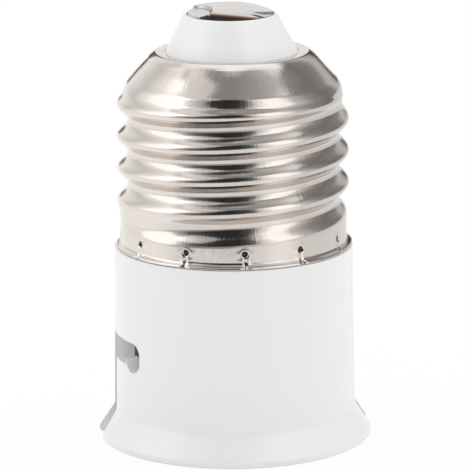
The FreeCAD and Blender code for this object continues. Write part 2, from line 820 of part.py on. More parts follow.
def sub_parts():
    return [item for item in doc.Objects
            if item.TypeId in ("PartDesign::Body", "Part::Feature")]


def check():
    """Stops before anything is written if an object failed or a sub-part isn't a sound solid."""
    for item in doc.Objects:
        if "Invalid" in item.State or "Error" in item.State:
            raise RuntimeError(f"{item.Label} failed: {item.State}")
    for item in sub_parts():
        if item.Shape.isNull() or not item.Shape.isValid() or len(item.Shape.Solids) != 1:
            raise RuntimeError(f"{item.Label} is not one sound solid")


def export():
    os.makedirs("parts", exist_ok=True)
    for item in sub_parts():
        item.Shape.exportStep(f"parts/{item.Label}.step")
        print(f"{item.Label}: {item.Shape.Volume:.2f} cubic mm")


build()
check()
export()
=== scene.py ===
import math
import bmesh
import bpy
import numpy as np
from mathutils import Matrix, Vector
from mathutils.geometry import delaunay_2d_cdt


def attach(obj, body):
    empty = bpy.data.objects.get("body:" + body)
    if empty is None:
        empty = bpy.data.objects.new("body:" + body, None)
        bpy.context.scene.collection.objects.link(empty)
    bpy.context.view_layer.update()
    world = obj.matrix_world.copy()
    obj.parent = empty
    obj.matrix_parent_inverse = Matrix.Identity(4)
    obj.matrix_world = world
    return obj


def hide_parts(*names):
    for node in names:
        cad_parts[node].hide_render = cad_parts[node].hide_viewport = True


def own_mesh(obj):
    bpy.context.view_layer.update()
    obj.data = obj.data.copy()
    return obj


# Lamp socket adapter. Lengths here are millimetres until mesh_piece() turns them into metres.
# Azimuths turn anticlockwise from +X, seen from above; the camera stands at azimuth 270.

MM = 0.001
TURN = 360.0

# Housing
RIM_RADIUS = 15.46
RIM_LAND = 0.72
FLARE_HEIGHT = 3.38
WAIST_RADIUS = 13.66
BODY_TOP_RADIUS = 13.45
BODY_RADIUS = 13.5
BODY_MIDDLE = 15.0
SHOULDER_HEIGHT = 22.0
SOCKET_RADIUS = 11.4
SOCKET_DEPTH = 14.0
RIM_WALL = 2.1
MOUTH_BEVEL = 2.9
CARRIER_SEAT = 21.1

# Bayonet slots
SLOT_AZIMUTH = 179.0
SLOT_ENTRY = 12.5
SLOT_TOP = 12.32
BARB_TOP = 9.5
NOTCH_AZIMUTH = 212.6
NOTCH_WIDTH = 2.9
NOTCH_BOTTOM = 8.8
SLOT_WINDOW = (172.5, 221.25)
SLOT_FILLET = 0.07
FILLET_STEPS = 3
UNDER_RIM_POINTS = 7

# Screw shell
SHEET = 0.3
SKIRT_RADIUS = 12.75
LIP_RADIUS = 13.2
LIP_TOP = 22.3
CREST_RADIUS = 13.03
ROOT_RADIUS = 11.89
PITCH = 3.6286
ROOT_HEIGHT = 27.39
CREST_SHARPNESS = 1.24
THREAD_START = -172
THREAD_START_SWEEP = 85
THREAD_END = 1010
THREAD_END_SWEEP = 90
CREST_RISE = (25.6, 27.3)
DOME_START = 38.9
GROOVE_TOP = 39.6
RING_HEIGHT = 44.1
STAKE_HEIGHT = 23.7
STAKE_AZIMUTH = 275.5
STAKE_COUNT = 12
STAKE_DEPTH = 0.28
STAKE_RADIUS = 0.4
FLARE_TOP = 22.76

# Cone and centre contact
CONE_BASE_RADIUS = 7.42
CONE_TOP_RADIUS = 5.16
CONE_SHIFT = -0.15
CONE_TOP = 48.32
CONTACT_RADIUS = 4.88
CONTACT_TOP = 48.85
CONTACT_FLOOR = 47.8
CONTACT_LEAN = 0.06
FOLD_AZIMUTH = 257.5
FOLD_OFFSET = 2.5
FOLD_NORMAL = (math.cos(math.radians(FOLD_AZIMUTH)), math.sin(math.radians(FOLD_AZIMUTH)))
FOLD_START = (-2.2, -2.0)
FOLD_SIDE = (0.78, -0.62)
FOLD_WIDTH = 0.26
HOLLOW_CENTRE = (-4.6, -0.9)
HOLLOW_REACH = (2.5, 3.5)
HOLLOW_POWER = 2.6

# Inside
CONTACT_AZIMUTH = 122.6
PLUNGER_OFFSET = 5.0
TOWER_TOP = 29.0
PLUNGER_SHOULDER = 20.65
COLLAR_TOP = 21.65


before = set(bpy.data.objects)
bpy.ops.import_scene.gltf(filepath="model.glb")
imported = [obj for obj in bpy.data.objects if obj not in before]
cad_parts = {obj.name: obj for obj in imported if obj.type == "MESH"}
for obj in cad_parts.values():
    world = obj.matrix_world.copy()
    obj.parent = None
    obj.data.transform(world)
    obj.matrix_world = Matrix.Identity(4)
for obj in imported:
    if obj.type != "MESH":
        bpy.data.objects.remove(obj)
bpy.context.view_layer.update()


def smooth_step(value):
    value = np.clip(value, 0, 1)
    return value * value * (3 - 2 * value)


def mesh_piece(name, points, faces, body, material, sharp=None):
    """A mesh from points in millimetres, riding on a body."""
    mesh = bpy.data.meshes.new(name)
    mesh.from_pydata((np.asarray(points, float) * MM).tolist(), [], [list(map(int, face)) for face in faces])
    mesh.validate()
    mesh.update()
    mesh.polygons.foreach_set("use_smooth", [True] * len(mesh.polygons))
    if sharp is not None:
        mesh.set_sharp_from_angle(angle=math.radians(sharp))
    piece = bpy.data.objects.new(name, mesh)
    bpy.context.scene.collection.objects.link(piece)
    mesh.materials.append(material)
    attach(piece, body)
    return piece


def grid_faces(rows, columns, start=0, wrap_columns=True, wrap_rows=False):
    """Quads of a grid whose points are listed row by row."""
    faces = []
    for row in range(rows if wrap_rows else rows - 1):
        above = (row + 1) % rows
        for column in range(columns if wrap_columns else columns - 1):
            beside = (column + 1) % columns
            faces.append((start + row * columns + column, start + row * columns + beside,
                          start + above * columns + beside, start + above * columns + column))
    return faces


def ring_points(radii, heights, azimuths):
    """Points of rings stacked row by row. Radii may vary along a row."""
    turn = np.radians(azimuths)
    radii = np.asarray(radii, float)
    if radii.ndim == 1:
        radii = np.repeat(radii[:, None], len(azimuths), axis=1)
    levels = np.repeat(np.asarray(heights, float)[:, None], len(azimuths), axis=1)
    return np.stack([radii * np.cos(turn), radii * np.sin(turn), levels], axis=-1).reshape(-1, 3)


def rounded(points, radii, steps=5):
    """An open line of (across, along) points with an arc at each inner corner."""
    line = [np.array(points[0], float)]
    for before, corner, after, radius in zip(points, points[1:], points[2:], radii):
        before, corner, after = (np.array(p, float) for p in (before, corner, after))
        inward = (before - corner) / np.linalg.norm(before - corner)
        outward = (after - corner) / np.linalg.norm(after - corner)
        half = math.acos(float(np.clip(inward @ outward, -1, 1))) / 2
        setback = radius / math.tan(half)
        if radius <= 0:
            line.append(corner)
            continue
        start = corner + inward * setback
        end = corner + outward * setback
        centre = corner + (inward + outward) / np.linalg.norm(inward + outward) * (radius / math.sin(half))
        first = start - centre
        last = end - centre
        sweep = math.acos(float(np.clip(first @ last / (radius * radius), -1, 1)))
        for step in range(steps + 1):
            share = step / steps
            line.append(centre + (first * math.sin((1 - share) * sweep) + last * math.sin(share * sweep))
                        / math.sin(sweep))
    line.append(np.array(points[-1], float))
    return np.array(line)


def resample(line, longest):
    """Adds points to a line so that no run is longer than given."""
    out = [line[0]]
    for start, end in zip(line, line[1:]):
        count = max(1, math.ceil(np.linalg.norm(end - start) / longest))
        out += [start + (end - start) * (step / count) for step in range(1, count + 1)]
    return np.array(out)


# Materials


def new_material(name, color, roughness, metallic=0.0):
    material = bpy.data.materials.new(name)
    material.use_nodes = True
    shader = material.node_tree.nodes["Principled BSDF"]
    shader.inputs["Base Color"].default_value = (*color, 1)
    shader.inputs["Roughness"].default_value = roughness
    shader.inputs["Metallic"].default_value = metallic
    return material


def stretched(tree, vector, stretch):
    mapping = tree.nodes.new("ShaderNodeMapping")
    mapping.inputs["Scale"].default_value = stretch
    tree.links.new(vector, mapping.inputs["Vector"])
    return mapping.outputs["Vector"]


def noise_at(material, vector, scale, detail=3.0, roughness=0.55):
    noise = material.node_tree.nodes.new("ShaderNodeTexNoise")
    noise.inputs["Scale"].default_value = scale
    noise.inputs["Detail"].default_value = detail
    noise.inputs["Roughness"].default_value = roughness
    material.node_tree.links.new(vector, noise.inputs["Vector"])
    return noise.outputs["Fac"]


def add_noise(material, scale, detail=3.0, stretch=(1, 1, 1)):
    """Object-space noise, stretched along the axes."""
    place = material.node_tree.nodes.new("ShaderNodeTexCoord")
    return noise_at(material, stretched(material.node_tree, place.outputs["Object"], stretch), scale, detail)


def remap(material, value, low, high, start=0.0, end=1.0):
    node = material.node_tree.nodes.new("ShaderNodeMapRange")
    node.inputs["From Min"].default_value = start
    node.inputs["From Max"].default_value = end
    node.inputs["To Min"].default_value = low
    node.inputs["To Max"].default_value = high
    material.node_tree.links.new(value, node.inputs["Value"])
    return node.outputs["Result"]


def blend_colors(material, value, first, second):
    node = material.node_tree.nodes.new("ShaderNodeMix")
    node.data_type = "RGBA"
    if isinstance(first, tuple):
        node.inputs["A"].default_value = (*first, 1)
    else:
        material.node_tree.links.new(first, node.inputs["A"])
    node.inputs["B"].default_value = (*second, 1)
    material.node_tree.links.new(value, node.inputs["Factor"])
    return node.outputs["Result"]


def add_bump(material, heights, distances):
    """Chained bumps from heights, each with its depth in metres."""
    nodes = material.node_tree.nodes
    links = material.node_tree.links
    normal = None
    for height, distance in zip(heights, distances):
        bump = nodes.new("ShaderNodeBump")
        bump.inputs["Strength"].default_value = 1.0
        bump.inputs["Distance"].default_value = distance
        links.new(height, bump.inputs["Height"])
        if normal is not None:
            links.new(normal, bump.inputs["Normal"])
        normal = bump.outputs["Normal"]
    links.new(normal, nodes["Principled BSDF"].inputs["Normal"])


def link_input(material, value, socket):
    material.node_tree.links.new(value, material.node_tree.nodes["Principled BSDF"].inputs[socket])


def math_node(tree, operation, first, second=None, third=None):
    node = tree.nodes.new("ShaderNodeMath")
    node.operation = operation
    for index, value in enumerate((first, second, third)):
        if value is None:
            continue
        if isinstance(value, (int, float)):
            node.inputs[index].default_value = value
        else:
            tree.links.new(value, node.inputs[index])
    return node.outputs["Value"]


def ease(tree, value, low, high):
    """A smooth step of a value from 0 at low to 1 at high."""
    node = tree.nodes.new("ShaderNodeMapRange")
    node.interpolation_type = "SMOOTHSTEP"
    node.inputs["From Min"].default_value = low
    node.inputs["From Max"].default_value = high
    tree.links.new(value, node.inputs["Value"])
    return node.outputs["Result"]


def mix_values(tree, share, first, second):
    """A number between two others, each of them fixed or linked."""
    node = tree.nodes.new("ShaderNodeMix")
    for socket, value in (("Factor", share), ("A", first), ("B", second)):
        if isinstance(value, (int, float)):
            node.inputs[socket].default_value = value
        else:
            tree.links.new(value, node.inputs[socket])
    return node.outputs["Result"]


def object_axes(tree):
    """The three outputs of a point's place on the object."""
    place = tree.nodes.new("ShaderNodeTexCoord")
    split = tree.nodes.new("ShaderNodeSeparateXYZ")
    tree.links.new(place.outputs["Object"], split.inputs["Vector"])
    return split.outputs["X"], split.outputs["Y"], split.outputs["Z"]


def cylinder_coordinates(material, around_scale, up_scale):
    """Azimuth and height as a texture vector, so that streaks run up a round wall."""
    tree = material.node_tree
    x, y, z = object_axes(tree)
    angle = math_node(tree, "ARCTAN2", y, x)
    join = tree.nodes.new("ShaderNodeCombineXYZ")
    tree.links.new(math_node(tree, "COSINE", angle), join.inputs["X"])
    tree.links.new(math_node(tree, "SINE", angle), join.inputs["Y"])
    tree.links.new(z, join.inputs["Z"])
    return stretched(tree, join.outputs["Vector"], (around_scale, around_scale, up_scale))


def make_white_plastic():
    """Semi-gloss moulded plastic, faintly uneven."""
    material = new_material("moulded_white_plastic", (0.80, 0.80, 0.81), 0.3)
    shader = material.node_tree.nodes["Principled BSDF"]
    shader.inputs["Subsurface Weight"].default_value = 0.12
    shader.inputs["Subsurface Radius"].default_value = (0.0012, 0.0011, 0.001)
    shader.inputs["Subsurface Scale"].default_value = 1.0
    shader.inputs["IOR"].default_value = 1.49
    flow = add_noise(material, 120, 3.0, (1, 1, 0.45))
    grain = add_noise(material, 2600, 2.0)
    link_input(material, blend_colors(material, flow, (0.79, 0.79, 0.795), (0.81, 0.81, 0.815)), "Base Color")
    link_input(material, remap(material, flow, 0.18, 0.26), "Roughness")
    add_bump(material, [grain], [0.0000015])
    return material


def dimple_painted_shade_mask(tree):
    """One inside the staking dimples, where painted shade darkens the nickel, and nought elsewhere."""
    x, y, z = object_axes(tree)
    angle = math_node(tree, "ARCTAN2", y, x)
    first_sector = 0.5 - STAKE_AZIMUTH * STAKE_COUNT / TURN
    sectors = math_node(tree, "MULTIPLY_ADD", angle, STAKE_COUNT / math.tau, first_sector)
    share = math_node(tree, "FLOORED_MODULO", sectors, 1.0)
    sector_width = math.tau * SKIRT_RADIUS / STAKE_COUNT
    aside = math_node(tree, "MULTIPLY_ADD", share, sector_width, -sector_width / 2)
    up = math_node(tree, "MULTIPLY_ADD", z, 1 / MM, -STAKE_HEIGHT)
    aside_square = math_node(tree, "MULTIPLY", aside, aside)
    up_square = math_node(tree, "MULTIPLY", up, up)
    away = math_node(tree, "SQRT", math_node(tree, "ADD", aside_square, up_square))
    return ease(tree, away, 0.38, 0.27)


def make_nickel():
    """Bright nickel on rolled sheet, with fine streaks drawn up the wall, and painted shade darkening the
    staking dimples.
    """
    material = new_material("rolled_nickel_plate", (0.70, 0.645, 0.605), 0.1, 1.0)
    fine = noise_at(material, cylinder_coordinates(material, 1.0, 20.0), 48.0, 4.0, 0.7)
    broad = noise_at(material, cylinder_coordinates(material, 1.0, 5.0), 34.0, 3.0, 0.6)
    clouds = add_noise(material, 330, 4.0, (1, 1, 0.6))
    dimple_shade = dimple_painted_shade_mask(material.node_tree)
    plate = blend_colors(material, clouds, (0.665, 0.605, 0.56), (0.735, 0.685, 0.65))
    # Inside the staking dimples the colour goes near black: painted shade in the pits.
    link_input(material, blend_colors(material, dimple_shade, plate, (0.09, 0.08, 0.075)), "Base Color")
    polish = remap(material, fine, 0.03, 0.18, 0.3, 0.7)
    link_input(material, mix_values(material.node_tree, dimple_shade, polish, 0.5), "Roughness")
    add_bump(material, [fine, broad, clouds], [0.0000065, 0.000009, 0.000008])
    return material


def make_contact_metal():
    material = new_material("satin_contact_plate", (0.62, 0.605, 0.595), 0.2, 1.0)
    scratches = add_noise(material, 900, 3.0, (0.12, 1.0, 1.0))
    clouds = add_noise(material, 400, 3.0)
    plate = blend_colors(material, clouds, (0.585, 0.57, 0.56), (0.655, 0.64, 0.63))
    link_input(material, plate, "Base Color")
    link_input(material, remap(material, scratches, 0.1, 0.24, 0.3, 0.7), "Roughness")
    add_bump(material, [scratches, clouds], [0.000006, 0.00001])
    return material


def make_painted_fold_shadow():
    """Painted shadow under the contact's folded edge: near black low down, a painted coppery reflection above
    that, and pale towards the top.
    """
    material = new_material("painted_shadow_under_fold", (0.04, 0.026, 0.02), 0.6)
    tree = material.node_tree
    shadow_mottle = add_noise(material, 1400, 3.0)
    x, _, z = object_axes(tree)
    lean = math_node(tree, "MULTIPLY", x, CONTACT_LEAN / MM)
    depth = math_node(tree, "MULTIPLY_ADD", z, 1 / MM, -CONTACT_TOP)
    level = math_node(tree, "ADD", lean, depth)
    # Near-black painted shadow low in the hollow under the fold, a painted coppery reflection higher up, and
    # pale near the top.
    dark = blend_colors(material, shadow_mottle, (0.022, 0.014, 0.01), (0.06, 0.04, 0.03))
    coppery = blend_colors(material, ease(tree, level, -0.55, -0.34), dark, (0.36, 0.19, 0.12))
    pale = blend_colors(material, ease(tree, level, -0.36, -0.22), coppery, (0.86, 0.78, 0.70))
    link_input(material, pale, "Base Color")
    link_input(material, remap(material, shadow_mottle, 0.45, 0.75), "Roughness")
    add_bump(material, [shadow_mottle], [0.00002])
    return material


def make_brass():
    material = new_material("turned_brass", (0.78, 0.60, 0.30), 0.24, 1.0)
    rings = add_noise(material, 300, 2.0, (0.2, 0.2, 9.0))
    clouds = add_noise(material, 500, 3.0)
    link_input(material, blend_colors(material, clouds, (0.74, 0.55, 0.26), (0.82, 0.65, 0.36)), "Base Color")
    link_input(material, remap(material, clouds, 0.18, 0.34, 0.3, 0.7), "Roughness")
    add_bump(material, [rings], [0.000008])
    return material


def make_grained(name, color, roughness, metallic, scale, darkening, spread, depth):
    """A plain material whose colour and polish vary a little with a fine grain."""
    material = new_material(name, color, roughness, metallic)
    grain = add_noise(material, scale)
    darker = tuple(part * darkening for part in color)
    polish = remap(material, grain, roughness * spread[0], roughness * spread[1], 0.3, 0.7)
    link_input(material, blend_colors(material, grain, darker, color), "Base Color")
    link_input(material, polish, "Roughness")
    add_bump(material, [grain], [depth])
    return material


def make_steel(name, color, roughness):
    return make_grained(name, color, roughness, 1.0, 1500, 0.88, (0.75, 1.3), 0.000004)


def make_polymer(name, color, roughness):
    return make_grained(name, color, roughness, 0.0, 900, 0.9, (0.85, 1.15), 0.000006)


white_plastic = make_white_plastic()
nickel = make_nickel()
contact_metal = make_contact_metal()
painted_fold_shadow_material = make_painted_fold_shadow()
brass = make_brass()
spring_steel = make_steel("spring_wire_steel", (0.56, 0.56, 0.57), 0.25)
screw_steel = make_steel("zinc_plated_steel", (0.70, 0.71, 0.74), 0.28)
solder_metal = make_steel("flowed_solder", (0.72, 0.73, 0.75), 0.22)
copper = make_steel("bare_copper", (0.80, 0.44, 0.29), 0.3)
carrier_plastic = make_polymer("carrier_plastic", (0.74, 0.735, 0.71), 0.42)
live_insulation = make_polymer("live_insulation", (0.20, 0.085, 0.04), 0.4)
neutral_insulation = make_polymer("neutral_insulation", (0.035, 0.13, 0.42), 0.4)


# Screw shell


def dome_radius(heights):
    """Radius of the domed shoulder at each height, through the points of its profile."""
    known_heights = np.array([39.0, 39.6, 40.2, 40.8, 41.4, 42.0, 42.6, 43.1, 43.35, 43.6])
    known_radii = np.array([12.36, 12.31, 12.16, 11.85, 11.3, 10.76, 10.23, 9.77, 9.53, 9.26])
    return np.interp(heights, known_heights, known_radii)


def thread_radius(azimuths, heights):
    """Outer radius of the rolled wall, with the thread's round grooves and their run-outs."""
    azimuths, heights = np.meshgrid(azimuths, heights)
    turned = (heights - ROOT_HEIGHT) * TURN / PITCH
    offset = (azimuths - turned + 180) % TURN - 180
    groove = turned + offset
    away = np.abs(offset) / TURN * PITCH
    rise = ((1 - np.cos(2 * math.pi * away / PITCH)) / 2) ** CREST_SHARPNESS
    start = smooth_step((groove - THREAD_START) / THREAD_START_SWEEP)
    dome = dome_radius(heights)
    crest = np.interp(heights, CREST_RISE, [SKIRT_RADIUS, CREST_RADIUS])
    rightward = np.clip(np.cos(np.radians(azimuths)), 0, 1)
    to_dome = smooth_step((heights - DOME_START + 0.55 * rightward) / (1.5 - 0.25 * rightward))
    crest = crest * (1 - to_dome) + dome * to_dome
    fade = np.maximum(smooth_step((heights - GROOVE_TOP) / 1.1),
                      smooth_step((groove - THREAD_END) / THREAD_END_SWEEP))
    root = ROOT_RADIUS + (dome - 0.06 - ROOT_RADIUS) * fade
    root = np.minimum(root, crest)
    return crest - (crest - root) * (1 - rise) * start


def stake_distance(azimuths):
    """Signed distance round the skirt to the nearest staking dimple, in millimetres."""
    sector = TURN / STAKE_COUNT
    return ((azimuths - STAKE_AZIMUTH + sector / 2) % sector - sector / 2) * math.radians(SKIRT_RADIUS)


def lip_flare(azimuths):
    """How far the lip stands out, round the skirt: more on one side, and pinched under each dimple."""
    aside = stake_distance(azimuths)
    pinch = 1 - 0.45 * np.exp(-(aside / 0.24) ** 2) + 0.12 * np.exp(-((np.abs(aside) - 0.6) / 0.3) ** 2)
    lean = 1 + 0.16 * np.cos(np.radians(azimuths - 350)) + 0.08 * np.sin(np.radians(azimuths * 7 + 30))
    return (LIP_RADIUS - SKIRT_RADIUS) * pinch * lean


def skirt_details(azimuths, heights):
    """What the turned-out lip, the dimples and the creases under them add to the skirt's radius."""
    aside = stake_distance(azimuths)[None, :]
    levels = heights[:, None]
    pull = np.exp(-(aside / 0.5) ** 2)
    flare_top = FLARE_TOP + 0.2 * pull
    share = np.clip((flare_top - levels) / (flare_top - LIP_TOP), 0, 1)
    flare = lip_flare(azimuths)[None, :] * share ** 2.3
    away = np.sqrt(aside ** 2 + (levels - STAKE_HEIGHT) ** 2)
    pit = -STAKE_DEPTH * smooth_step((STAKE_RADIUS - away) / 0.2)
    bead = 0.03 * np.exp(-((away - 0.52) / 0.1) ** 2)
    crease = 0.08 * np.exp(-((np.abs(aside) - 0.36) / 0.17) ** 2) * np.exp(-((levels - 22.95) / 0.33) ** 2)
    return flare + pit + bead + crease


def shell_azimuths():
    """Columns of the shell's grid, close together at each dimple and wider between them."""
    sector = TURN / STAKE_COUNT
    fine_step = 0.42
    fine_reach = 2.52
    fine = np.arange(-6, 7) * fine_step
    coarse = np.linspace(fine_reach, sector - fine_reach, 18)[1:-1]
    offsets = np.concatenate([fine, coarse])
    return np.concatenate([STAKE_AZIMUTH - TURN + sector * index + offsets for index in range(STAKE_COUNT)])


def make_screw_shell():
    azimuths = shell_azimuths()
    outer_heights = np.concatenate([
        np.linspace(LIP_TOP, 23.0, 13), np.linspace(23.07, 24.33, 19), np.linspace(24.55, 25.2, 4),
        np.linspace(25.36, 41.2, 92), np.linspace(41.38, 43.35, 12)])
    radii = thread_radius(azimuths, outer_heights)
    skirt_only = outer_heights < 25
    radii[skirt_only] += skirt_details(azimuths, outer_heights[skirt_only])
    outer = ring_points(radii, outer_heights, azimuths)
    corner = rounded([(9.53, 43.35), (9.28, 43.59), (9.02, 43.81), (8.74, 44.01), (8.56, 44.1), (7.43, 44.1),
                      (7.43, 43.8), (8.6, 43.8)], [1.5, 1.5, 0.8, 0.25, 0.1, 0.05], 6)[1:]
    corner = resample(corner, 0.7)
    top = ring_points(corner[:, 0], corner[:, 1], azimuths)
    inner_dome_heights = np.linspace(43.2, 40.6, 9)
    inner_dome = ring_points(dome_radius(inner_dome_heights + 0.22) - 0.24, inner_dome_heights, azimuths)
    inner_heights = np.linspace(40.3, 25.2, 52)
    inner_wall = ring_points(thread_radius(azimuths, inner_heights) - SHEET, inner_heights, azimuths)
    skirt_heights = np.array([24.8, 24.0, 23.3, 22.85])
    inner_skirt = ring_points(np.full(4, SKIRT_RADIUS - SHEET), skirt_heights, azimuths)
    edge = radii[0] - LIP_RADIUS
    lip = [(12.47, 22.6), (12.62, 22.36), (12.86, 22.12), (13.0, 22.03), (13.1, 22.01), (13.18, 22.03),
           (13.24, 22.08), (13.265, 22.14), (13.25, 22.22)]
    shares = np.linspace(0, 1, len(lip)) ** 0.6
    lip_rows = ring_points(np.array([row[0] + edge * share for row, share in zip(lip, shares)]),
                           [row[1] for row in lip], azimuths)
    points = np.concatenate([outer, top, inner_dome, inner_wall, inner_skirt, lip_rows])
    rows = len(points) // len(azimuths)
    shell = mesh_piece("rolled_screw_shell", points, grid_faces(rows, len(azimuths), wrap_rows=True),
                       "housing", nickel, sharp=50)
    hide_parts("screw_shell")


# Centre contact


def fold_measures(across, along):
    """How far a place lies beyond the folded edge, and how far in from the line where the fold starts."""
    beyond = FOLD_NORMAL[0] * across + FOLD_NORMAL[1] * along - FOLD_OFFSET
    from_start = FOLD_SIDE[0] * (across - FOLD_START[0]) + FOLD_SIDE[1] * (along - FOLD_START[1])
    return beyond, from_start


def contact_height(across, along):
    """Height of the pressed contact's top over the plan, with its fold, its pressed-in side and its rim."""
    out = np.hypot(across, along)
    lean = 0.36 * smooth_step((across - 0.6) / 4.6)
    crown = 0.05 * (out / CONTACT_RADIUS) ** 2
    height = CONTACT_TOP - lean - crown
    hollow_across = np.abs((across - HOLLOW_CENTRE[0]) / HOLLOW_REACH[0]) ** HOLLOW_POWER
    hollow_along = np.abs((along - HOLLOW_CENTRE[1]) / HOLLOW_REACH[1]) ** HOLLOW_POWER
    hollow = (hollow_across + hollow_along) ** (1 / HOLLOW_POWER)
    hollow_wall = 0.26 * smooth_step((1.0 - hollow) / 0.04)
    hollow_floor = 0.12 * smooth_step((0.95 - hollow) / 0.7)
    height = height - hollow_wall - hollow_floor
    height = height - 0.34 * smooth_step((-along - 2.5) / 2.0) * smooth_step((across - 0.4) / 2.2)
    behind_crease = along + 3.35 - 0.7 * across
    height = height - 0.17 * smooth_step(0.5 - behind_crease / 0.2) * smooth_step((across - 2.2) / 1.8)
    beyond_fold, from_start = fold_measures(across, along)
    drop = smooth_step(beyond_fold / FOLD_WIDTH) * smooth_step(from_start / FOLD_WIDTH)
    height = height - (height - (CONTACT_FLOOR + 0.1)) * drop
    rim = smooth_step((out - (CONTACT_RADIUS - 0.2)) / 0.22)
    return height - 0.14 * rim * rim


def make_centre_contact():
    """Rows run along the fold, so that its edge is straight."""
    rows_at = np.concatenate([
        -CONTACT_RADIUS * np.cos(np.linspace(0.03, 1.2, 26)),
        np.linspace(-1.68, 2.42, 52),
        np.linspace(2.46, 2.76, 10),
        np.linspace(2.85, 4.87, 20)])
    columns = 96
    spread = np.sin(np.linspace(-math.pi / 2, math.pi / 2, columns))
    tangent = (-FOLD_NORMAL[1], FOLD_NORMAL[0])
    half = np.sqrt(np.maximum(CONTACT_RADIUS ** 2 - rows_at ** 2, 0))
    along_fold = half[:, None] * spread[None, :]
    across = rows_at[:, None] * FOLD_NORMAL[0] + along_fold * tangent[0]
    along = rows_at[:, None] * FOLD_NORMAL[1] + along_fold * tangent[1]
    heights = contact_height(across, along)
    top = np.stack([across, along, heights], axis=-1).reshape(-1, 3)
    rows = len(rows_at)
    faces = grid_faces(rows, columns, wrap_columns=False)
    edge = list(range(columns))
    edge += [row * columns + columns - 1 for row in range(1, rows)]
    edge += [(rows - 1) * columns + index for index in range(columns - 2, -1, -1)]
    edge += [row * columns for row in range(rows - 2, 0, -1)]
    count = len(edge)
    base = len(top)
    lower = top[edge].copy()
    lower[:, 2] = CONTACT_FLOOR
    points = np.concatenate([top, lower, [[0, 0, CONTACT_FLOOR]]])
    for index in range(count):
        following = (index + 1) % count
        faces.append((edge[following], edge[index], base + index, base + following))
        faces.append((base + following, base + index, base + count))
    shank = rounded([(0.9, 47.2), (0.9, 41.05), (1.05, 40.9), (2.2, 40.9), (2.2, 41.5), (1.65, 41.5),
                     (1.65, 47.79), (0.9, 47.79), (0.9, 47.3)], [0.05, 0.05, 0.15, 0.15, 0.03, 0.05, 0.05], 4)
    turns = np.arange(0, TURN, 7.5)
    shank_points = ring_points(shank[:, 0], shank[:, 1], turns)
    shank_faces = grid_faces(len(shank), len(turns), start=len(points), wrap_rows=True)
    points = np.concatenate([points, shank_points])
    points[:, 0] += CONE_SHIFT * smooth_step((points[:, 2] - RING_HEIGHT) / 1.0)
    contact = mesh_piece("pressed_centre_contact", points, faces + shank_faces, "housing",
                         contact_metal, sharp=60)
    # The second material is painted shadow: faces beyond the fold and the upright walls round the plate's
    # edge take it.
    contact.data.materials.append(painted_fold_shadow_material)
    for face in contact.data.polygons:
        centre = face.center / MM
        folded_down = min(fold_measures(centre.x - CONE_SHIFT, centre.y)) > 0.04
        under_edge = abs(face.normal.z) < 0.3 and math.hypot(centre.x, centre.y) > 4.5
        if centre.z > CONTACT_FLOOR - 0.1 and (folded_down or under_edge):
            face.material_index = 1
    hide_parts("centre_contact")


# Housing


def housing_profile():
    """Outline of the moulding, from half way up its outside, under the rim and up the bore."""
    return rounded([
        (BODY_RADIUS, BODY_MIDDLE), (WAIST_RADIUS - 0.05, 8.0), (WAIST_RADIUS, FLARE_HEIGHT),
        (RIM_RADIUS, RIM_LAND), (RIM_RADIUS, 0), (RIM_RADIUS - RIM_WALL, 0), (SOCKET_RADIUS, MOUTH_BEVEL),
        (SOCKET_RADIUS, SOCKET_DEPTH - 0.3)],
        [20.0, 0.75, 0.5, 0.22, 0.2, 0.5], 6)


def slot_outline():
    """One bayonet slot as (azimuth, height), from the far foot of its entry round to the near one."""
    degrees = 1 / math.radians(BODY_RADIUS)
    entry = SLOT_ENTRY / degrees
    centre = (NOTCH_AZIMUTH - SLOT_AZIMUTH) / degrees
    half = NOTCH_WIDTH / 2
    corners = [(0, 0), (0, SLOT_TOP), (centre + half, SLOT_TOP), (centre + half, NOTCH_BOTTOM),
               (centre - half, NOTCH_BOTTOM), (centre - half, BARB_TOP), (entry, BARB_TOP),
               (entry, FLARE_HEIGHT), (entry + 0.55, RIM_LAND), (entry + 0.58, 0)]
    line = rounded(corners, [0.35, 1.42, 1.42, 1.42, 0.35, 0.22, 0.5, 0.3], 8)
    line = resample(line, 0.3)
    line[:, 0] = line[:, 0] * degrees + SLOT_AZIMUTH
    return line


def arc_lengths(line):
    return np.concatenate([[0], np.cumsum(np.linalg.norm(np.diff(line, axis=0), axis=1))])


class Strip:
    """The wall's surface, unrolled: azimuth, and length down the outside, under the rim and up the bore."""

    def __init__(self, profile):
        self.profile = resample(profile, 0.55)
        self.lengths = arc_lengths(self.profile)
        steps = np.gradient(self.profile, axis=0)
        steps /= np.linalg.norm(steps, axis=1)[:, None]
        self.inward = np.stack([steps[:, 1], -steps[:, 0]], axis=1)
        lowest = np.flatnonzero(self.profile[:, 1] < 1e-4)
        self.first_low, self.last_low = lowest[0], lowest[-1]

    def at(self, lengths, depths=0.0):
        across = np.interp(lengths, self.lengths, self.profile[:, 0])
        along = np.interp(lengths, self.lengths, self.profile[:, 1])
        inward_x = np.interp(lengths, self.lengths, self.inward[:, 0])
        inward_z = np.interp(lengths, self.lengths, self.inward[:, 1])
        size = np.hypot(inward_x, inward_z)
        return across + depths * inward_x / size, along + depths * inward_z / size

    def points_at(self, turns, lengths, depths=0.0):
        """Points in space, from azimuths in radians, lengths along the strip and depths under it."""
        radii, heights = self.at(lengths, depths)
        return list(np.stack([radii * np.cos(turns), radii * np.sin(turns), heights], axis=1))

    def outside(self, heights):
        part = slice(0, self.first_low + 1)
        return np.interp(-np.asarray(heights), -self.profile[part, 1], self.lengths[part])

    def bore(self, heights):
        part = slice(self.last_low, None)
        return np.interp(heights, self.profile[part, 1], self.lengths[part])


